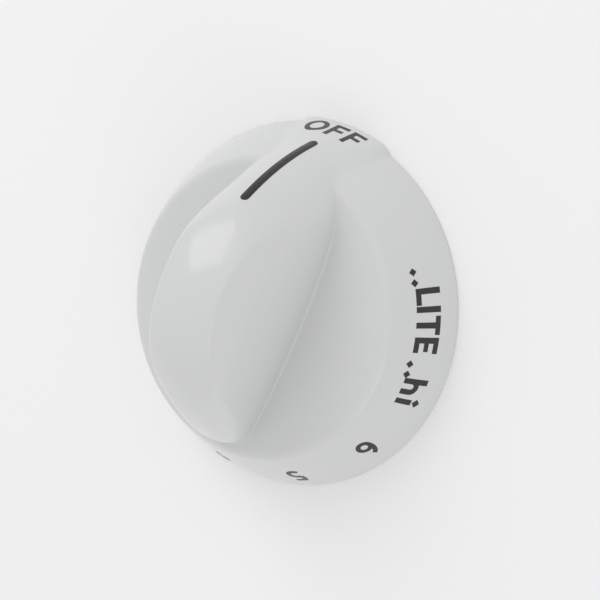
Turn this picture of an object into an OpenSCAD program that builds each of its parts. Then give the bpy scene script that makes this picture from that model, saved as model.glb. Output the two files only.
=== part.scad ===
// Control knob of a gas cooker hob.
// One moulded knob with a flared skirt, a domed finger grip and a pointer
// that runs down to the rim, and a ring spring that closes its split hub.
// Millimetres. Z = 0 is the plane of the back rim, +Z points out of the
// cooker along the valve stem, +Y points to the indicator.

/* [Skirt] */

// Diameter of the back rim
skirt_d = 50; // [40:0.5:65]

// Height of the skirt, from the back rim to the finger floors
skirt_h = 10; // [7:0.1:14]

// Diameter of the sharp edge where the skirt meets the finger floors
floor_d = 40.3; // [30:0.1:52]

// Radius of the bulge of the skirt in its cross section
skirt_curve_r = 35; // [25:0.5:200]

// Thickness of the moulded walls
wall = 2; // [1.5:0.1:3]

// Radius that softens the edge of the finger floors
floor_edge_r = 0.5; // [0.2:0.05:1.5]

/* [Grip] */

// Height of the grip's crown above the back rim
grip_h = 28.6; // [24:0.1:36]

// How far the dome's axis lies from the stem's axis, toward the indicator
dome_shift = 1.5; // [0:0.1:3]

// Radius of the dome's foot in the plane of the back rim
dome_base_r = 24.2; // [22.5:0.1:30]

// Draft of the dome's straight foot
dome_draft = 15.9; // [8:0.1:22]

// Radius of the dome's crown
crown_r = 15.6; // [10:0.1:20]

// Radius of the dome's long flank
flank_r = 30.9; // [24:0.1:60]

// Half of the grip's width half way up, over the stem
waist = 6.3; // [5:0.1:9]

// Radius of the grip's two long side walls
side_r = 66.5; // [45:0.5:200]

// Slant of the side walls' ruling, seen from the side
side_slant = 48; // [20:1:65]

// Turn of the side walls that narrows the grip away from the indicator
side_turn = 10; // [0:0.5:15]

// Distance of the far end of the grip from the stem's axis
grip_end = 18.85; // [15:0.05:24]

/* [Pointer] */

// Turn of the pointer's cheeks away from the grip's length
cheek_turn = 45.5; // [30:0.5:65]

// Backward lean of the pointer's cheeks
cheek_lean = 17.2; // [5:0.1:30]

// Distance of the pointer's cheeks from the origin
cheek_dist = 21.3; // [18:0.05:28]

/* [Hub] */

// Diameter of the hub round the valve stem
hub_d = 13; // [11:0.1:15]

// Set back of the hub's mouth from the back rim
hub_setback = 2; // [0.5:0.1:4]

// Diameter of the valve stem
stem_d = 8; // [5:0.05:10]

// Size of the stem across its flat
stem_flat = 6.5; // [4:0.05:9.5]

// Play between the stem and its socket, all round
stem_play = 0.05; // [0.02:0.01:0.2]

// Depth of the stem's socket from the hub's mouth
socket_depth = 17; // [12:0.5:18]

// Width of the two slits that split the hub
slit_w = 1.2; // [0.8:0.1:2]

// Length of the slits from the hub's mouth
slit_l = 9; // [6:0.5:12]

// Thickness of the ribs between hub and skirt
rib_t = 1.2; // [0.8:0.1:2]

// Set back of the ribs from the back rim
rib_setback = 3.5; // [2:0.1:6]

/* [Spring] */

// Thickness of the ring spring's wire
wire_d = 1.2; // [0.8:0.05:1.6]

// Depth of the groove that holds the spring in the hub
groove_depth = 0.6; // [0.3:0.05:0.8]

// Distance from the hub's mouth to the middle of the groove
groove_pos = 2.5; // [1.5:0.1:6]

// Opening of the spring, as an angle
spring_gap = 50; // [20:1:120]

// Play between the spring and its groove
spring_play = 0.04; // [0.02:0.01:0.1]

/* [Hidden] */

skirt_r = skirt_d / 2;
floor_r = floor_d / 2;

// Centre of the skirt's bulge, left of the chord from rim to floor edge
chord = sqrt(pow(skirt_r - floor_r, 2) + pow(skirt_h, 2));
chord_reach = sqrt(pow(skirt_curve_r, 2) - pow(chord / 2, 2));
curve_x = (skirt_r + floor_r) / 2 - chord_reach * skirt_h / chord;
curve_z = skirt_h / 2 - chord_reach * (skirt_r - floor_r) / chord;

// Where the round of the floor edge meets the floor and the skirt
round_reach = skirt_curve_r - floor_edge_r;
round_z = skirt_h - floor_edge_r - curve_z;
edge_x = curve_x + sqrt(pow(round_reach, 2) - pow(round_z, 2));
edge_z = curve_z + round_z * skirt_curve_r / round_reach;

// Centres of the dome's two arcs: the flank's arc touches the straight foot
// and the crown's arc, whose centre lies on the dome's axis
crown_z = grip_h - crown_r;
foot_slope = tan(dome_draft);
foot_reach = flank_r / cos(dome_draft) - dome_base_r;
arc_gap = flank_r - crown_r;
quad_a = 1 + pow(foot_slope, 2);
quad_b = 2 * (foot_slope * foot_reach - crown_z);
quad_c = pow(foot_reach, 2) + pow(crown_z, 2) - pow(arc_gap, 2);
flank_z = (-quad_b - sqrt(pow(quad_b, 2) - 4 * quad_a * quad_c)) / (2 * quad_a);
flank_x = -(foot_reach + foot_slope * flank_z);
blend_z = crown_z + (crown_z - flank_z) * crown_r / arc_gap;

socket_r = stem_d / 2 + stem_play;
socket_flat = stem_flat - stem_d / 2 + stem_play;
groove_z = hub_setback + groove_pos;
groove_r = wire_d / 2 + spring_play;
ring_r = hub_d / 2 - groove_depth + wire_d / 2;
far = 4 * skirt_r;

// Half section of the skirt, with the softened edge of its finger floors
module skirt_section() {
  intersection() {
    translate([curve_x, curve_z])
      circle(r = skirt_curve_r, $fn = 240);
    union() {
      square([skirt_r, edge_z]);
      square([edge_x, skirt_h]);
      translate([edge_x, skirt_h - floor_edge_r])
        circle(r = floor_edge_r, $fn = 48);
    }
  }
}

// Half section of the room under the skirt
module hollow_section() {
  intersection() {
    translate([curve_x, curve_z])
      circle(r = skirt_curve_r - wall, $fn = 240);
    translate([0, -1])
      square([skirt_r, skirt_h - wall + 1]);
  }
}

// Half section of the dome, drawn in by an inset
module dome_section(inset) {
  foot_x = dome_base_r - inset / cos(dome_draft);
  bend_x = flank_x + (flank_r - inset) * cos(dome_draft);
  bend_z = flank_z + (flank_r - inset) * sin(dome_draft);
  intersection() {
    union() {
      translate([0, crown_z])
        circle(r = crown_r - inset, $fn = 240);
      intersection() {
        translate([flank_x, flank_z])
          circle(r = flank_r - inset, $fn = 360);
        square([far, blend_z]);
      }
      polygon([[0, 0], [foot_x, 0], [bend_x, bend_z], [0, bend_z]]);
    }
    square([far, far]);
  }
}

// Long side wall of the grip: the inside of a slanted round bar
module side_bar(inset) {
  translate([waist - side_r, 0, grip_h / 2])
    rotate([side_slant, -side_turn, 0])
      cylinder(h = 2 * far, r = side_r - inset, center = true, $fn = 720);
}

// Room outside one cheek of the pointer
module cheek_cut(inset) {
  rotate([0, 0, 90 - cheek_turn])
    rotate([0, -cheek_lean, 0])
      translate([cheek_dist - inset, -far, -far])
        cube([far, 2 * far, 2 * far]);
}

// Grip and pointer, drawn in by an inset
module grip_form(inset) {
  difference() {
    intersection() {
      translate([0, dome_shift, 0])
        rotate_extrude($fn = 180)
          dome_section(inset);
      side_bar(inset);
      mirror([1, 0, 0])
        side_bar(inset);
      union() {
        cylinder(h = far, r = grip_end - inset, $fn = 180);
        translate([-far, 0, 0])
          cube([2 * far, far, far]);
      }
    }
    cheek_cut(inset);
    mirror([1, 0, 0])
      cheek_cut(inset);
  }
}

// Valve stem's socket with its flat
module socket() {
  intersection() {
    translate([0, 0, hub_setback - 1])
      cylinder(h = socket_depth + 1, r = socket_r, $fn = 96);
    translate([-far, -far, 0])
      cube([2 * far, far + socket_flat, far]);
  }
}

// Hub with its socket, its slits and the groove of the spring
module hub() {
  difference() {
    translate([0, 0, hub_setback])
      cylinder(h = grip_h - crown_r / 3 - hub_setback, d = hub_d, $fn = 128);
    socket();
    translate([-far, -slit_w / 2, hub_setback - 1])
      cube([2 * far, slit_w, slit_l + 1]);
    translate([0, 0, groove_z])
      rotate_extrude($fn = 128)
        translate([ring_r, 0])
          circle(r = groove_r, $fn = 48);
  }
}

// Ribs between hub and skirt
module ribs() {
  for (turn = [45, 135, 225, 315])
    rotate([0, 0, turn])
      translate([hub_d / 2 - 0.3, -rib_t / 2, rib_setback])
        cube([skirt_r, rib_t, skirt_h]);
}

// Moulded knob: skirt, grip and pointer over a shell with hub and ribs
module knob_body() {
  color([0.93, 0.93, 0.92])
  union() {
    difference() {
      union() {
        skirt_form();
        grip_form(0);
      }
      rotate_extrude($fn = 180)
        hollow_section();
      grip_form(wall);
    }
    intersection() {
      union() {
        hub();
        ribs();
      }
      union() {
        skirt_form();
        grip_form(0);
      }
    }
  }
}

// Skirt as a solid, before it is hollowed
module skirt_form() {
  rotate_extrude($fn = 180)
    skirt_section();
}

// Ring spring round the split hub
module hub_spring() {
  color([0.62, 0.63, 0.64])
  translate([0, 0, groove_z])
    rotate([0, 0, spring_gap / 2])
      rotate_extrude(angle = 360 - spring_gap, $fn = 128)
        translate([ring_r, 0])
          circle(d = wire_d, $fn = 48);
}

knob_body();
hub_spring();
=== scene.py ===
"""Looks of the cooker control knob, laid out as an add-on and run as a script.

The moulding's skin is found on rays that leave one point inside the knob: on each
ray lies one place where the smooth sum of dome, side walls, cheeks and skirt is
zero. Print lies on that same skin. Lengths in the formulas are millimetres.
"""

import math

import bpy
import numpy as np
from mathutils import Euler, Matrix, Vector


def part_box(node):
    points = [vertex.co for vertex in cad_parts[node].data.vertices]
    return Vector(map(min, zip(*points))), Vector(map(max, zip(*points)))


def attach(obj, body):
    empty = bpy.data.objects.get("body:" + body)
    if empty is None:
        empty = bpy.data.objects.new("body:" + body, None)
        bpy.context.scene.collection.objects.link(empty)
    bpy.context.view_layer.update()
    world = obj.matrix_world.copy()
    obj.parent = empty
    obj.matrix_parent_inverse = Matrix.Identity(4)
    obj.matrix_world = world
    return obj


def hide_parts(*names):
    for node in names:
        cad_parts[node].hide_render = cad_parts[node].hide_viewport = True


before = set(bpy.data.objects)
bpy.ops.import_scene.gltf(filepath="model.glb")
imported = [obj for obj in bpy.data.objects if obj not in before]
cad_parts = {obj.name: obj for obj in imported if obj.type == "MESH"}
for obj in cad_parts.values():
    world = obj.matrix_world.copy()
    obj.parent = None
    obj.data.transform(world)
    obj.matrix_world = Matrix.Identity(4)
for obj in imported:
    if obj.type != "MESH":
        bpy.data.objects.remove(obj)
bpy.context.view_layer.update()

bl_info = {
    "name": "Cooker control knob",
    "version": (1, 0, 0),
    "blender": (4, 5, 0),
    "location": "3D View > Sidebar > Knob",
    "description": "Builds the glossy cooker knob, its print, its spring and the studio",
    "category": "Add Mesh",
}

MM = 0.001
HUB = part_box("hub_spring")
HUB_SPRING_Z = (HUB[0][2] + HUB[1][2]) / 2 / MM

# Sizes that the solids share, in millimetres and degrees.
SKIRT_R, SKIRT_H, FLOOR_R, SKIRT_CURVE = 25.0, 10.0, 20.15, 35.0
WALL = 2.0
GRIP_H, DOME_SHIFT, DOME_BASE, DOME_DRAFT = 28.6, 1.5, 24.2, 15.9
CROWN_R, FLANK_R, WAIST = 15.6, 30.9, 6.3
SIDE_R, SIDE_SLANT, SIDE_TURN, GRIP_END = 66.5, 48.0, 10.0, 18.85
CHEEK_TURN, CHEEK_LEAN, CHEEK_DIST = 45.5, 17.2, 21.3
HUB_D, HUB_BACK, SOCKET_R, SOCKET_FLAT, SOCKET_L = 13.0, 2.0, 4.05, 2.55, 17.0
SLIT_W, SLIT_L, RIB_T, RIB_BACK = 1.2, 9.0, 1.2, 3.5
HEART = np.array([0.0, 0.0, 3.0])


# ---------------------------------------------------------------- forms


def turned(axis, degrees):
    """Rotation matrix about one axis: cos and sin of the angle in the other two rows."""
    c, s = math.cos(math.radians(degrees)), math.sin(math.radians(degrees))
    i, j = {"x": (1, 2), "y": (2, 0), "z": (0, 1)}[axis]
    m = np.eye(3)
    m[i, i], m[i, j], m[j, i], m[j, j] = c, -s, s, c
    return m


def soft_max(a, b, k):
    """max(a, b) + h^2 / 4k with h = k - |a - b| where that is above zero: a round of width k."""
    h = np.maximum(k - np.abs(a - b), 0.0)
    return np.maximum(a, b) + h * h / (4.0 * np.maximum(k, 1e-6))


def soft_min(a, b, k):
    """The fillet that mirrors soft_max: -soft_max(-a, -b, k)."""
    return -soft_max(-a, -b, k)


def ramp(value, low, high):
    """3t^2 - 2t^3 with t running from 0 at low to 1 at high."""
    t = np.clip((value - low) / (high - low), 0.0, 1.0)
    return t * t * (3.0 - 2.0 * t)


def skirt_curve_centre():
    """Centre of the arc of radius SKIRT_CURVE through the rim and the floor's edge."""
    chord = math.hypot(SKIRT_R - FLOOR_R, SKIRT_H)
    reach = math.sqrt(SKIRT_CURVE**2 - chord**2 / 4)
    x = (SKIRT_R + FLOOR_R) / 2 - reach * SKIRT_H / chord
    z = SKIRT_H / 2 - reach * (SKIRT_R - FLOOR_R) / chord
    return x, z


def dome_centres():
    """Heights of the crown's centre and place of the flank's centre, so that the
    flank's arc touches the crown's arc and the straight foot."""
    crown_z = GRIP_H - CROWN_R
    slope = math.tan(math.radians(DOME_DRAFT))
    reach = FLANK_R / math.cos(math.radians(DOME_DRAFT)) - DOME_BASE
    gap = FLANK_R - CROWN_R
    a, b = 1 + slope**2, 2 * (slope * reach - crown_z)
    c = reach**2 + crown_z**2 - gap**2
    z = (-b - math.sqrt(b * b - 4 * a * c)) / (2 * a)
    return crown_z, -(reach + slope * z), z


CURVE_X, CURVE_Z = skirt_curve_centre()
CROWN_Z, FLANK_X, FLANK_Z = dome_centres()


def side_axis():
    """Direction of the round side wall's ruling: Z turned by SIDE_SLANT about X, then by
    -SIDE_TURN about Y."""
    return turned("y", -SIDE_TURN) @ turned("x", SIDE_SLANT) @ np.array([0.0, 0.0, 1.0])


def dome(p, inset=0.0):
    """Distance to the body turned from crown arc, flank arc and straight foot, whose
    axis stands DOME_SHIFT off the stem's axis."""
    r = np.hypot(p[..., 0], p[..., 1] - DOME_SHIFT)
    z = p[..., 2]
    draft = math.radians(DOME_DRAFT)
    crown = np.hypot(r, z - CROWN_Z) - CROWN_R
    flank = np.hypot(r - FLANK_X, z - FLANK_Z) - FLANK_R
    foot = (r - DOME_BASE) * math.cos(draft) + z * math.sin(draft)
    angle = np.arctan2(z - FLANK_Z, r - FLANK_X)
    high = math.atan2(CROWN_Z - FLANK_Z, -FLANK_X)
    return np.where(angle > high, crown, np.where(angle > draft, flank, foot)) + inset


def side_wall(p, side, inset=0.0):
    """Distance to a slanted round bar: |q - (q.d) d| - SIDE_R for its axis d."""
    q = p * np.array([side, 1.0, 1.0]) - np.array([WAIST - SIDE_R, 0.0, GRIP_H / 2])
    d = side_axis()
    along = q @ d
    return np.sqrt(np.maximum((q * q).sum(-1) - along * along, 0.0)) - SIDE_R + inset


def cheek(p, side, inset=0.0):
    """Height over a leaning plane: n.p - CHEEK_DIST for its normal n."""
    n = turned("z", 90 - CHEEK_TURN) @ turned("y", -CHEEK_LEAN) @ np.array([1.0, 0.0, 0.0])
    return (p * np.array([side, 1.0, 1.0])) @ n - CHEEK_DIST + inset


def grip(p, inset=0.0, top=0.6, blend=4.5, cheek_k=5.0):
    """Soft maximum of dome, both walls and both cheeks. The round along the top edge
    grows toward the far end and toward the pointer, and is small again at the rim."""
    y, z = p[..., 1], p[..., 2]
    far = 2.6 * ramp(-y, 7.5, 15.0)
    near = blend * ramp(y, 9.0, 17.0) * ramp(z, 1.5, 9.0)
    edge = top + far + near
    right = soft_max(side_wall(p, 1, inset), cheek(p, 1, inset), cheek_k)
    left = soft_max(side_wall(p, -1, inset), cheek(p, -1, inset), cheek_k)
    sides = np.maximum(right, left)
    body = soft_max(dome(p, inset), sides, edge)
    end = np.where(y < 0, np.hypot(p[..., 0], y) - GRIP_END + inset, -50.0)
    return soft_max(body, end, 0.8)


def skirt(p, edge=0.7):
    """Soft maximum of the bulged skirt and the flat finger floors."""
    r = np.hypot(p[..., 0], p[..., 1])
    curve = np.hypot(r - CURVE_X, p[..., 2] - CURVE_Z) - SKIRT_CURVE
    return soft_max(curve, p[..., 2] - SKIRT_H, edge)


def outside(p):
    """Soft minimum of grip and skirt, cut off by the plane of the back rim."""
    body = soft_min(grip(p), skirt(p), 0.35)
    return soft_max(body, -p[..., 2], 0.5)


def inside(p):
    """The same forms drawn in by the wall's thickness: the room under the knob."""
    r = np.hypot(p[..., 0], p[..., 1])
    curve = np.hypot(r - CURVE_X, p[..., 2] - CURVE_Z) - SKIRT_CURVE + WALL
    room = soft_max(curve, p[..., 2] - SKIRT_H + WALL, 0.8)
    return soft_min(room, grip(p, WALL, 0.5, 0.5, 1.0), 0.5)


def on_rays(form, origin, rays, reach=48.0, steps=34):
    """Where each ray leaves the form: halving the stretch between inside and outside."""
    low = np.zeros(rays.shape[:-1])
    high = np.full(rays.shape[:-1], reach)
    for _ in range(steps):
        mid = (low + high) / 2
        out = form(origin + rays * mid[..., None]) > 0
        high = np.where(out, mid, high)
        low = np.where(out, low, mid)
    return origin + rays * high[..., None]


def slope(form, p, step=0.01):
    """Unit gradient of the form by differences along X, Y and Z."""
    g = np.stack(
        [form(p + step * e) - form(p - step * e) for e in np.eye(3)],
        axis=-1,
    )
    return g / np.linalg.norm(g, axis=-1, keepdims=True)


def rays_at(azimuth, height):
    """Unit rays with the angle azimuth round Z and the angle height over the plane."""
    c = np.cos(height)
    return np.stack([c * np.cos(azimuth), c * np.sin(azimuth), np.sin(height)], axis=-1)


def skin(form, columns, rows, low):
    """Grid of points on a form: one column per angle, rows spread by length and bend."""
    t = np.arange(columns) * (2 * math.pi / columns)
    azimuth = t + 0.25 * np.sin(2 * t)
    dense = np.linspace(low, math.pi / 2, 900)
    a, h = np.meshgrid(azimuth, dense, indexing="ij")
    p = on_rays(form, HEART, rays_at(a, h), steps=26)
    d = np.diff(p, axis=1)
    length = np.linalg.norm(d, axis=-1)
    unit = d / np.maximum(length, 1e-9)[..., None]
    bend = np.arccos(np.clip((unit[:, 1:] * unit[:, :-1]).sum(-1), -1, 1))
    bend = np.pad(bend, ((0, 0), (0, 1)), mode="edge")
    weight = length / length.sum(1, keepdims=True) + 1.1 * bend / bend.sum(1, keepdims=True)
    weight = weight + 0.15 / weight.shape[1]
    run = np.concatenate([np.zeros((columns, 1)), np.cumsum(weight, axis=1)], axis=1)
    run /= run[:, -1:]
    goal = np.linspace(0, 1, rows)
    heights = np.stack([np.interp(goal, line, dense) for line in run])
    a = np.repeat(azimuth[:, None], rows, axis=1)[:, :-1]
    grid = on_rays(form, HEART, rays_at(a, heights[:, :-1]))
    pole = on_rays(form, HEART, np.array([[0.0, 0.0, 1.0]]))[0]
    return grid, pole


# ---------------------------------------------------------------- meshes


class Parts:
    """Collects points, faces and normals of one mesh."""

    def __init__(self):
        self.points, self.faces, self.normals = [], [], []
        self.count = 0

    def add(self, points, normals=None):
        """Adds an array of points and gives the number of the first one."""
        first = self.count
        points = np.asarray(points, float).reshape(-1, 3)
        self.points.append(points)
        blank = np.zeros_like(points)
        self.normals.append(blank if normals is None else np.asarray(normals).reshape(-1, 3))
        self.count += len(points)
        return first

    def grid(self, points, closed=False, flip=False, normals=None):
        """Adds rows x columns points and the quads between them."""
        n, m = points.shape[:2]
        first = self.add(points, normals)
        index = first + np.arange(n * m).reshape(n, m)
        if closed:
            index = np.vstack([index, index[:1]])
        quads = np.stack(
            [index[:-1, :-1], index[1:, :-1], index[1:, 1:], index[:-1, 1:]], axis=-1
        ).reshape(-1, 4)
        if flip:
            quads = quads[:, ::-1]
        self.faces.extend(quads.tolist())
        return index

    def build(self, name, smooth=35.0):
        """Makes the object in metres, with smooth faces and the given normals."""
        mesh = bpy.data.meshes.new(name)
        points = np.concatenate(self.points) * MM
        mesh.from_pydata(points.tolist(), [], self.faces)
        mesh.update()
        mesh.shade_smooth()
        mesh.set_sharp_from_angle(angle=math.radians(smooth))
        normals = np.concatenate(self.normals)
        given = np.linalg.norm(normals, axis=1) > 0.5
        if given.any():
            flat = np.zeros(len(mesh.loops) * 3)
            mesh.corner_normals.foreach_get("vector", flat)
            corner = flat.reshape(-1, 3)
            owner = np.zeros(len(mesh.loops), int)
            mesh.loops.foreach_get("vertex_index", owner)
            use = given[owner]
            corner[use] = normals[owner[use]]
            mesh.normals_split_custom_set(corner.tolist())
        piece = bpy.data.objects.new(name, mesh)
        bpy.context.scene.collection.objects.link(piece)
        return piece


def ring_cap(parts, ring, centre, flip=False):
    """Triangles from a closed ring of point numbers to one centre point."""
    middle = parts.add([centre])
    n = len(ring)
    for i in range(n):
        a, b = int(ring[i]), int(ring[(i + 1) % n])
        parts.faces.append([a, middle, b] if flip else [a, b, middle])


# ---------------------------------------------------------------- moulding


def shell(parts, columns, rows):
    """Outer skin, inner skin and the flat rim that joins them."""
    low = -math.atan2(HEART[2], 23.9)
    grid, pole = skin(outside, columns, rows, low)
    outer = parts.grid(grid, closed=True, normals=slope(outside, grid))
    top = parts.add([pole], slope(outside, pole[None]))
    for i in range(columns):
        parts.faces.append([int(outer[i, -1]), int(outer[(i + 1) % columns, -1]), top])
    mouth = CURVE_X + math.sqrt((SKIRT_CURVE - WALL) ** 2 - CURVE_Z**2)
    low = -math.atan2(HEART[2], mouth)
    grid, pole = skin(inside, columns, rows // 2, low)
    inner = parts.grid(grid, closed=True, flip=True, normals=-slope(inside, grid))
    top = parts.add([pole], -slope(inside, pole[None]))
    for i in range(columns):
        parts.faces.append([int(inner[(i + 1) % columns, -1]), int(inner[i, -1]), top])
    for i in range(columns):
        j = (i + 1) % columns
        parts.faces.append([int(outer[i, 0]), int(inner[i, 0]), int(inner[j, 0]), int(outer[j, 0])])


def socket_radius(angle):
    """Radius of the stem's socket: round, and cut by the flat on the pointer's side."""
    s = np.sin(angle)
    return np.where(s * SOCKET_R > SOCKET_FLAT, SOCKET_FLAT / np.maximum(s, 1e-6), SOCKET_R)


def hub_half(parts, side):
    """One half of the split hub: its section swept between the two slits."""
    groove = HUB_SPRING_Z
    outer = [(HUB_D / 2, HUB_BACK + SLIT_L), (HUB_D / 2, groove + 0.64)]
    for a in np.linspace(90, 270, 13):
        c, s = math.cos(math.radians(a)), math.sin(math.radians(a))
        outer.append((HUB_D / 2 + 0.64 * c, groove + 0.64 * s))
    outer += [(HUB_D / 2, groove - 0.64), (HUB_D / 2, HUB_BACK + 0.3), (HUB_D / 2 - 0.3, HUB_BACK)]
    outer = np.array(outer)
    inner = np.array([(0.5, HUB_BACK), (0.0, HUB_BACK + 0.5), (0.0, HUB_BACK + SLIT_L)])
    t = np.linspace(0, 1, 49)
    rows = []
    for share in t:
        line = []
        for r, z in outer:
            edge = math.asin(SLIT_W / 2 / r)
            angle = edge + share * (math.pi - 2 * edge)
            line.append((r * math.cos(angle), side * r * math.sin(angle), z))
        for extra, z in inner:
            r = SOCKET_R + extra
            edge = math.asin(SLIT_W / 2 / r)
            angle = edge + share * (math.pi - 2 * edge)
            flat = float(socket_radius(np.array(angle if side > 0 else -angle)))
            r = flat + extra
            line.append((r * math.cos(angle), side * max(r * math.sin(angle), SLIT_W / 2), z))
        rows.append(line)
    points = np.array(rows)
    index = parts.grid(points, flip=side < 0)
    loop = index.tolist()
    for i in range(len(t) - 1):
        face = [loop[i][-1], loop[i + 1][-1], loop[i + 1][0], loop[i][0]]
        parts.faces.append(face[::-1] if side < 0 else face)
    start, end = loop[0], loop[-1]
    parts.faces.append(start if side < 0 else start[::-1])
    parts.faces.append(end[::-1] if side < 0 else end)


def hub_root(parts):
    """Hub above the slits, grown into the grip, with the socket's blind end."""
    angle = np.arange(96) * (2 * math.pi / 96)
    heights = np.linspace(HUB_BACK + SLIT_L, 25.4, 16)
    a, z = np.meshgrid(angle, heights, indexing="ij")
    rays = np.stack([np.cos(a), np.sin(a), np.zeros_like(a)], axis=-1)
    origin = np.stack([np.zeros_like(a), np.zeros_like(a), z], axis=-1)
    edge = on_rays(lambda p: outside(p) + 1.0, origin, rays)
    r = np.minimum(np.hypot(edge[..., 0], edge[..., 1]), HUB_D / 2)
    wall = np.stack([r * np.cos(a), r * np.sin(a), z], axis=-1)
    outer = parts.grid(wall, closed=True)
    depth = np.linspace(HUB_BACK + SLIT_L, HUB_BACK + SOCKET_L, 6)
    a, z = np.meshgrid(angle, depth, indexing="ij")
    r = socket_radius(a)
    inner = parts.grid(np.stack([r * np.cos(a), r * np.sin(a), z], axis=-1), closed=True, flip=True)
    n = len(angle)
    for i in range(n):
        j = (i + 1) % n
        parts.faces.append([int(outer[i, 0]), int(inner[i, 0]), int(inner[j, 0]), int(outer[j, 0])])
    ring_cap(parts, outer[:n, -1], (0, 0, 25.4))
    ring_cap(parts, inner[:n, -1], (0, 0, HUB_BACK + SOCKET_L), flip=True)


def ribs(parts):
    """Four ribs from hub to skirt, each a bar whose outer end follows the skirt."""
    for turn in (45, 135, 225, 315):
        c, s = math.cos(math.radians(turn)), math.sin(math.radians(turn))
        corners = []
        for z in (RIB_BACK, SKIRT_H - 0.6):
            end = CURVE_X + math.sqrt(SKIRT_CURVE**2 - (z - CURVE_Z) ** 2) - 1.0
            for r, t in ((6.2, -1), (end, -1), (end, 1), (6.2, 1)):
                t = t * RIB_T / 2
                corners.append((r * c - t * s, r * s + t * c, z))
        first = parts.add(corners)
        for face in ((0, 3, 2, 1), (4, 5, 6, 7), (0, 1, 5, 4), (1, 2, 6, 5), (2, 3, 7, 6), (3, 0, 4, 7)):
            parts.faces.append([first + k for k in face])


# ---------------------------------------------------------------- print


def meridian(angle, out):
    """Guess of a point on the skirt at a clock angle, out millimetres toward the rim
    from the middle of the legend's ring."""
    mid = math.asin((4.8 - CURVE_Z) / SKIRT_CURVE)
    psi = mid - out / SKIRT_CURVE
    r = CURVE_X + SKIRT_CURVE * np.cos(psi)
    z = CURVE_Z + SKIRT_CURVE * np.sin(psi)
    return np.stack([r * np.sin(angle), r * np.cos(angle), z], axis=-1)


def on_skin(p, lift):
    """Moves points along their ray from the heart onto the skin and lifts them."""
    ray = p - HEART
    ray = ray / np.linalg.norm(ray, axis=-1, keepdims=True)
    q = on_rays(outside, HEART, ray)
    n = slope(outside, q)
    return q + lift * n, n


def skirt_place(centre, middle=4.8):
    """Maps sign coordinates to the skin: x along the ring, clockwise, y toward the rim."""

    def place(x, y):
        angle = math.radians(centre) + x / 23.3
        return meridian(angle, y + 4.8 - middle)

    return place


def bar(x0, y0, x1, y1, width):
    """Straight stroke of a sign: corners either side of the line between two points."""
    u = np.linspace(0, 1, max(2, int(math.hypot(x1 - x0, y1 - y0) / 0.25) + 1))
    v = np.linspace(-0.5, 0.5, 4)
    length = math.hypot(x1 - x0, y1 - y0)
    nx, ny = -(y1 - y0) / length, (x1 - x0) / length
    a, b = np.meshgrid(u, v, indexing="ij")
    return x0 + (x1 - x0) * a + nx * width * b, y0 + (y1 - y0) * a + ny * width * b


def bow(cx, cy, rx, ry, start, end, width):
    """Curved stroke: an ellipse's arc from start to end, thick by width across."""
    steps = max(8, int(abs(end - start) / 8))
    a, b = np.meshgrid(np.linspace(start, end, steps), np.linspace(0.5, -0.5, 4), indexing="ij")
    a = np.radians(a)
    return cx + (rx + width * b) * np.cos(a), cy + (ry + width * b) * np.sin(a)


def diamond(cx, cy, r):
    """Dot of the legend: a square of half diagonal r standing on its corner."""
    a, b = np.meshgrid(np.linspace(-0.5, 0.5, 4), np.linspace(-0.5, 0.5, 4), indexing="ij")
    return cx + r * (a + b), cy + r * (b - a)


def signs():
    """Strokes of each sign about its middle, h tall: plain straight and curved bars."""
    w, h, n = 0.8, 1.92, 1.15
    thin = 0.68
    return {
        "L": [bar(-0.75, -h, -0.75, h, w), bar(-0.35, -h + w / 2, 1.15, -h + w / 2, w)],
        "I": [bar(0, -h, 0, h, w)],
        "T": [bar(-1.25, h - w / 2, 1.25, h - w / 2, w), bar(0, -h, 0, h - w, w)],
        "E": [
            bar(-0.75, -h, -0.75, h, w),
            bar(-0.35, -h + w / 2, 1.0, -h + w / 2, w),
            bar(-0.35, 0, 0.8, 0, w * 0.9),
            bar(-0.35, h - w / 2, 1.0, h - w / 2, w),
        ],
        "h": [
            bar(-0.8, -h, -0.8, h, w),
            bow(0.0, -0.55, 0.8, 0.85, 180, 0, w),
            bar(0.8, -0.55, 0.8, -h, w),
        ],
        "i": [bar(0, -h, 0, 0.65, w), diamond(0, 1.45, 0.62)],
        "dot": [diamond(0, 0, 0.56)],
        "O": [bow(0, 0, n, h - thin / 2, 0, 360, thin)],
        "F": [
            bar(-0.7, -h, -0.7, h, thin),
            bar(-0.36, h - thin / 2, 1.0, h - thin / 2, thin),
            bar(-0.36, 0.1, 0.8, 0.1, thin),
        ],
        "6": [
            bow(0, -0.72, 0.86, 0.86, 0, 360, thin),
            bow(0.62, -0.5, 1.48, 2.08, 182, 108, thin),
        ],
        "5": [
            bar(-0.75, h - thin / 2, 0.95, h - thin / 2, thin),
            bar(-0.62, h - thin, -0.62, 0.1, thin),
            bow(-0.12, -0.68, 0.94, 0.9, 125, -140, thin),
        ],
        "4": [
            bar(0.35, -h, 0.35, h, thin),
            bar(-1.1, -0.62, 1.05, -0.62, thin),
            bar(-0.95, -0.55, 0.2, h - 0.2, thin),
        ],
        "3": [
            bow(-0.12, 0.9, 0.82, 0.7, 140, -90, thin),
            bow(-0.12, -0.72, 0.9, 0.86, 90, -140, thin),
        ],
        "2": [
            bow(-0.05, 0.76, 0.86, 0.84, 165, -35, thin),
            bar(0.62, 0.3, -0.75, -1.35, thin),
            bar(-1.0, -h + thin / 2, 1.0, -h + thin / 2, thin),
        ],
        "l": [bar(0, -h, 0, h, w)],
        "o": [bow(0, -0.72, 0.86, 0.86, 0, 360, w)],
    }


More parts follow.
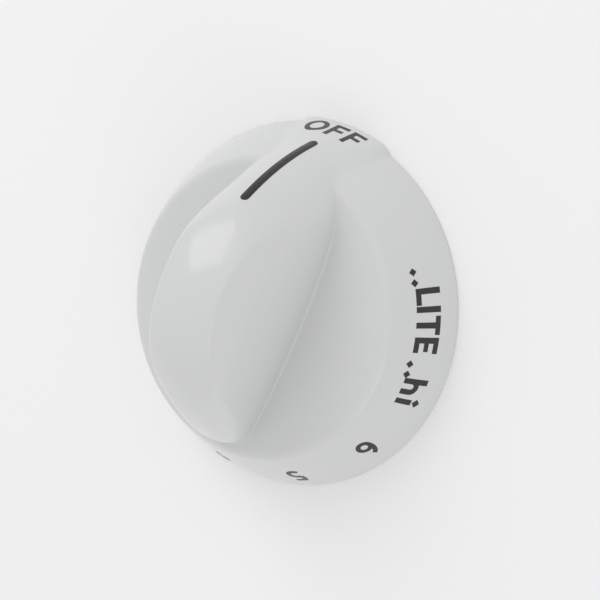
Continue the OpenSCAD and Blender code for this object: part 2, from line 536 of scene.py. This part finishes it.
LEGEND = (
    ("O", -7.2), ("F", 0.2), ("F", 6.7),
    ("dot", 57.7), ("dot", 61.4), ("L", 66.2), ("I", 70.4), ("T", 75.6), ("E", 82.4),
    ("dot", 88.9), ("dot", 92.6), ("h", 96.8), ("i", 102.4),
    ("6", 124.5), ("5", 154.6), ("4", 184.7), ("3", 214.8), ("2", 244.9),
    ("l", 272.6), ("o", 277.0),
)


def print_legend(parts, lift):
    """Lays every sign of the legend on the skin, lower edge toward the stem's axis."""
    strokes = signs()
    for sign, clock in LEGEND:
        drop = -1.9 if sign == "dot" else 0.0
        middle = 3.0 if sign in "OF" else 4.8
        place = skirt_place(clock, middle)
        for x, y in strokes[sign]:
            p, n = on_skin(place(x, y + drop), lift)
            area = np.cross(p[1, 0] - p[0, 0], p[0, 1] - p[0, 0]) @ n[0, 0]
            parts.grid(p, flip=area < 0, normals=n)


def print_indicator(parts, lift, width, start, end):
    """Round-ended line on the ridge of the pointer: the angle over the rim's plane runs
    from start to end, and the width is closed by half circles."""
    fine = np.linspace(math.radians(start), math.radians(end), 400)
    ridge = on_rays(outside, HEART, rays_at(np.full_like(fine, math.pi / 2), fine))
    run = np.concatenate([[0], np.cumsum(np.linalg.norm(np.diff(ridge, axis=0), axis=1))])
    total, r = run[-1], width / 2
    turn = np.linspace(0, math.pi / 2, 9)
    s = np.concatenate([r - r * np.cos(turn), np.linspace(r, total - r, 48)[1:-1], total - r + r * np.sin(turn)])
    half = np.concatenate([r * np.sin(turn), np.full(46, r), r * np.cos(turn)])
    half = np.maximum(half, 0.02)
    base = np.stack([np.interp(s, run, ridge[:, k]) for k in range(3)], axis=-1)
    v = np.linspace(-1, 1, 7)
    p = base[:, None, :] + np.array([1.0, 0, 0]) * (half[:, None] * v[None])[..., None]
    p, n = on_skin(p, lift)
    area = np.cross(p[1, 3] - p[0, 3], p[0, 4] - p[0, 3]) @ n[0, 3]
    parts.grid(p, flip=area < 0, normals=n)


# ---------------------------------------------------------------- finishes


def grain_group():
    """Shader group: fine noise over the surface, as a value and as a bump normal."""
    group = bpy.data.node_groups.new("moulded_grain", "ShaderNodeTree")
    group.interface.new_socket("Scale", in_out="INPUT", socket_type="NodeSocketFloat")
    group.interface.new_socket("Bump", in_out="INPUT", socket_type="NodeSocketFloat")
    group.interface.new_socket("Value", in_out="OUTPUT", socket_type="NodeSocketFloat")
    group.interface.new_socket("Normal", in_out="OUTPUT", socket_type="NodeSocketVector")
    nodes, links = group.nodes, group.links
    enter, leave = nodes.new("NodeGroupInput"), nodes.new("NodeGroupOutput")
    place, noise = nodes.new("ShaderNodeTexCoord"), nodes.new("ShaderNodeTexNoise")
    bump = nodes.new("ShaderNodeBump")
    noise.inputs["Detail"].default_value = 4.0
    bump.inputs["Distance"].default_value = 0.0002
    links.new(place.outputs["Object"], noise.inputs["Vector"])
    links.new(enter.outputs["Scale"], noise.inputs["Scale"])
    links.new(enter.outputs["Bump"], bump.inputs["Strength"])
    links.new(noise.outputs["Fac"], bump.inputs["Height"])
    links.new(noise.outputs["Fac"], leave.inputs["Value"])
    links.new(bump.outputs["Normal"], leave.inputs["Normal"])
    return group


def finish_of(name, colour, roughness, scale, bump, spread, **constants):
    """Material: base colour varied a little by grain, roughness varied by grain."""
    material = bpy.data.materials.new(name)
    material.use_nodes = True
    nodes, links = material.node_tree.nodes, material.node_tree.links
    shader = nodes["Principled BSDF"]
    grain = nodes.new("ShaderNodeGroup")
    grain.node_tree = bpy.data.node_groups.get("moulded_grain") or grain_group()
    grain.inputs["Scale"].default_value = scale
    grain.inputs["Bump"].default_value = bump
    tone, gloss = nodes.new("ShaderNodeMix"), nodes.new("ShaderNodeMapRange")
    tone.data_type = "RGBA"
    tone.inputs["A"].default_value = tuple(c * (1 - spread) for c in colour[:3]) + (1.0,)
    tone.inputs["B"].default_value = tuple(min(c * (1 + spread), 1) for c in colour[:3]) + (1.0,)
    gloss.inputs["To Min"].default_value = roughness * 0.85
    gloss.inputs["To Max"].default_value = roughness * 1.15
    links.new(grain.outputs["Value"], tone.inputs["Factor"])
    links.new(grain.outputs["Value"], gloss.inputs["Value"])
    links.new(tone.outputs["Result"], shader.inputs["Base Color"])
    links.new(gloss.outputs["Result"], shader.inputs["Roughness"])
    links.new(grain.outputs["Normal"], shader.inputs["Normal"])
    for socket, value in constants.items():
        shader.inputs[socket.replace("_", " ")].default_value = value
    return material


def backdrop_finish(name):
    """Rough near-white floor, base 0.98, that takes a shadow."""
    material = bpy.data.materials.new(name)
    material.use_nodes = True
    shader = material.node_tree.nodes["Principled BSDF"]
    shader.inputs["Base Color"].default_value = (0.98, 0.98, 0.98, 1)
    shader.inputs["Roughness"].default_value = 0.9
    shader.inputs["Specular IOR Level"].default_value = 0.1
    return material


# ---------------------------------------------------------------- settings


class KnobLook(bpy.types.PropertyGroup):
    """Sizes and colours of the moulding and its spring."""

    colour: bpy.props.FloatVectorProperty(
        name="Moulding", description="Colour of the moulding", subtype="COLOR",
        size=3, min=0, max=1, default=(0.70, 0.705, 0.71),
    )
    roughness: bpy.props.FloatProperty(
        name="Gloss", description="Roughness of the moulding", default=0.16,
        min=0, max=1, subtype="FACTOR",
    )
    columns: bpy.props.IntProperty(
        name="Columns", description="Grid lines round the moulding", default=320, min=60, max=400,
    )
    rows: bpy.props.IntProperty(
        name="Rows", description="Grid lines from crown to rim", default=170, min=40, max=240,
    )
    wire: bpy.props.FloatProperty(
        name="Wire", description="Thickness of the spring's wire", default=0.0012,
        unit="LENGTH", min=0.0005, max=0.002,
    )
    opening: bpy.props.FloatProperty(
        name="Opening", description="Opening of the ring spring", default=math.radians(50),
        subtype="ANGLE",
    )
    steel: bpy.props.FloatVectorProperty(
        name="Steel", description="Colour of the spring wire", subtype="COLOR",
        size=3, min=0, max=1, default=(0.56, 0.57, 0.58),
    )


class KnobPrint(bpy.types.PropertyGroup):
    """Sizes and colour of the printed marks."""

    ink: bpy.props.FloatVectorProperty(
        name="Ink", description="Colour of the print", subtype="COLOR",
        size=3, min=0, max=1, default=(0.018, 0.018, 0.020),
    )
    lift: bpy.props.FloatProperty(
        name="Thickness", description="Thickness of the ink", default=0.00002,
        unit="LENGTH", min=0.000005, max=0.0001,
    )
    line_width: bpy.props.FloatProperty(
        name="Line width", description="Width of the indicator", default=0.00125,
        unit="LENGTH", min=0.0005, max=0.003,
    )
    line_start: bpy.props.FloatProperty(
        name="Line's upper end", description="Angle over the rim's plane", subtype="ANGLE",
        default=math.radians(49.5),
    )
    line_end: bpy.props.FloatProperty(
        name="Line's lower end", description="Angle over the rim's plane", subtype="ANGLE",
        default=math.radians(11.0),
    )


class KnobStage(bpy.types.PropertyGroup):
    """Strengths of the studio."""

    key: bpy.props.FloatProperty(name="Key", description="Power of the key lamp", default=0.5, unit="POWER")
    fill: bpy.props.FloatProperty(name="Fill", description="Power of the fill lamp", default=0.2, unit="POWER")
    world: bpy.props.FloatProperty(name="World", description="Strength of the room's light", default=0.75)


# ---------------------------------------------------------------- operators


class OBJECT_OT_knob_moulding(bpy.types.Operator):
    """Builds the moulded knob as one closed skin with hub and ribs"""

    bl_idname = "object.knob_moulding"
    bl_label = "Build the moulding"

    def execute(self, context):
        look = context.scene.knob_look
        parts = Parts()
        shell(parts, look.columns, look.rows)
        hub_half(parts, 1)
        hub_half(parts, -1)
        hub_root(parts)
        ribs(parts)
        piece = parts.build("moulding")
        piece.data.materials.append(
            finish_of("glossy_moulding", look.colour, look.roughness, 900.0, 0.02, 0.006,
                      Specular_IOR_Level=0.5, Coat_Weight=0.0)
        )
        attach(piece, "root")
        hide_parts("knob_body")
        return {"FINISHED"}


class OBJECT_OT_knob_spring(bpy.types.Operator):
    """Builds the ring spring in the groove of the hub"""

    bl_idname = "object.knob_spring"
    bl_label = "Build the spring"

    def execute(self, context):
        look = context.scene.knob_look
        radius = look.wire / 2 / MM
        parts = Parts()
        sweep = np.linspace(look.opening / 2, 2 * math.pi - look.opening / 2, 97)
        sweep = np.concatenate([[sweep[0]] * 2, sweep[1:-1], [sweep[-1]] * 2])
        sweep[1] += 0.015
        sweep[-2] -= 0.015
        scale = np.ones(len(sweep))
        scale[0] = scale[-1] = 0.7
        around = np.arange(16) * (2 * math.pi / 16)
        a, b = np.meshgrid(around, sweep, indexing="ij")
        rad = HUB_D / 2 + radius * np.cos(a) * scale[None]
        p = np.stack([rad * np.cos(b), rad * np.sin(b), HUB_SPRING_Z + radius * np.sin(a) * scale[None]], -1)
        index = parts.grid(p, closed=True, flip=True)
        for end, flip in ((0, True), (-1, False)):
            b = sweep[end]
            ring_cap(parts, index[:16, end], (HUB_D / 2 * math.cos(b), HUB_D / 2 * math.sin(b), HUB_SPRING_Z), flip)
        piece = parts.build("ring_spring")
        piece.data.materials.append(
            finish_of("spring_wire", look.steel, 0.3, 2500.0, 0.05, 0.04, Metallic=1.0)
        )
        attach(piece, "root")
        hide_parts("hub_spring")
        return {"FINISHED"}


class OBJECT_OT_knob_print(bpy.types.Operator):
    """Prints the indicator and the legend on the moulding"""

    bl_idname = "object.knob_print"
    bl_label = "Print the marks"

    def execute(self, context):
        marks = context.scene.knob_print
        lift = marks.lift / MM
        ink = finish_of("printing_ink", marks.ink, 0.28, 1800.0, 0.04, 0.08, Specular_IOR_Level=0.5)
        legend, line = Parts(), Parts()
        print_legend(legend, lift)
        print_indicator(line, lift, marks.line_width / MM,
                        math.degrees(marks.line_start), math.degrees(marks.line_end))
        for parts, name in ((legend, "legend"), (line, "indicator")):
            piece = parts.build(name)
            piece.data.materials.append(ink)
            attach(piece, "root")
        return {"FINISHED"}


def lamp(name, place, aim, size, power):
    """Square area lamp at a place, turned to an aim point, both in metres."""
    light = bpy.data.lights.new(name, "AREA")
    light.shape = "RECTANGLE"
    light.size, light.size_y = size
    light.energy = power
    holder = bpy.data.objects.new(name, light)
    holder.location = place
    direction = np.array(aim) - np.array(place)
    yaw = math.atan2(direction[1], direction[0]) - math.pi / 2
    pitch = math.atan2(math.hypot(direction[0], direction[1]), -direction[2])
    holder.rotation_euler = Euler((pitch, 0, yaw))
    bpy.context.scene.collection.objects.link(holder)
    return holder


class OBJECT_OT_knob_stage(bpy.types.Operator):
    """Sets up floor, room light, lamps and camera"""

    bl_idname = "object.knob_stage"
    bl_label = "Set the stage"

    def execute(self, context):
        studio = context.scene.knob_stage
        scene = context.scene
        scene.view_settings.view_transform = "Standard"
        floor_parts = Parts()
        s = 3000.0
        floor_parts.grid(np.array([[(-s, -s, 0), (s, -s, 0)], [(-s, s, 0), (s, s, 0)]]), flip=True)
        floor = floor_parts.build("floor")
        floor.data.materials.append(backdrop_finish("pale_floor"))
        world = bpy.data.worlds.new("room")
        world.use_nodes = True
        back = world.node_tree.nodes["Background"]
        back.inputs["Color"].default_value = (1, 1, 1, 1)
        back.inputs["Strength"].default_value = studio.world
        scene.world = world
        lamp("key", (-0.25, 0.30, 0.35), (0, 0, 0.01), (0.3, 0.3), studio.key)
        lamp("fill", (0.35, -0.25, 0.30), (0, 0, 0.01), (0.3, 0.3), studio.fill)
        eye = bpy.data.cameras.new("camera")
        eye.sensor_width = 36
        eye.lens = 156
        eye.clip_start, eye.clip_end = 0.01, 20
        camera = bpy.data.objects.new("camera", eye)
        camera.location = (0.172365, 0.085575, 0.298280)
        camera.rotation_euler = Euler([math.radians(a) for a in (-4.1601, 32.5644, 18.5793)])
        scene.collection.objects.link(camera)
        scene.camera = camera
        return {"FINISHED"}


class VIEW3D_PT_knob(bpy.types.Panel):
    """Panel with the knob's sizes, colours and operators"""

    bl_idname = "VIEW3D_PT_knob"
    bl_label = "Cooker knob"
    bl_space_type = "VIEW_3D"
    bl_region_type = "UI"
    bl_category = "Knob"

    def draw(self, context):
        scene, layout = context.scene, self.layout
        groups = (scene.knob_look, scene.knob_print, scene.knob_stage)
        for group in groups:
            box = layout.box()
            for name in type(group).__annotations__:
                box.prop(group, name)
        for operator in OPERATORS:
            layout.operator(operator.bl_idname)


OPERATORS = (
    OBJECT_OT_knob_moulding,
    OBJECT_OT_knob_spring,
    OBJECT_OT_knob_print,
    OBJECT_OT_knob_stage,
)
GROUPS = (("knob_look", KnobLook), ("knob_print", KnobPrint), ("knob_stage", KnobStage))


def register():
    """Adds the groups of settings, the operators and the panel."""
    for name, group in GROUPS:
        bpy.utils.register_class(group)
        setattr(bpy.types.Scene, name, bpy.props.PointerProperty(type=group))
    for cls in OPERATORS + (VIEW3D_PT_knob,):
        bpy.utils.register_class(cls)


def unregister():
    """Takes them away again in reverse order."""
    for cls in reversed(OPERATORS + (VIEW3D_PT_knob,)):
        bpy.utils.unregister_class(cls)
    for name, group in reversed(GROUPS):
        delattr(bpy.types.Scene, name)
        bpy.utils.unregister_class(group)


def main():
    """Builds everything in order."""
    register()
    bpy.ops.object.knob_moulding()
    bpy.ops.object.knob_spring()
    bpy.ops.object.knob_print()
    bpy.ops.object.knob_stage()


if __name__ == "__main__":
    main()
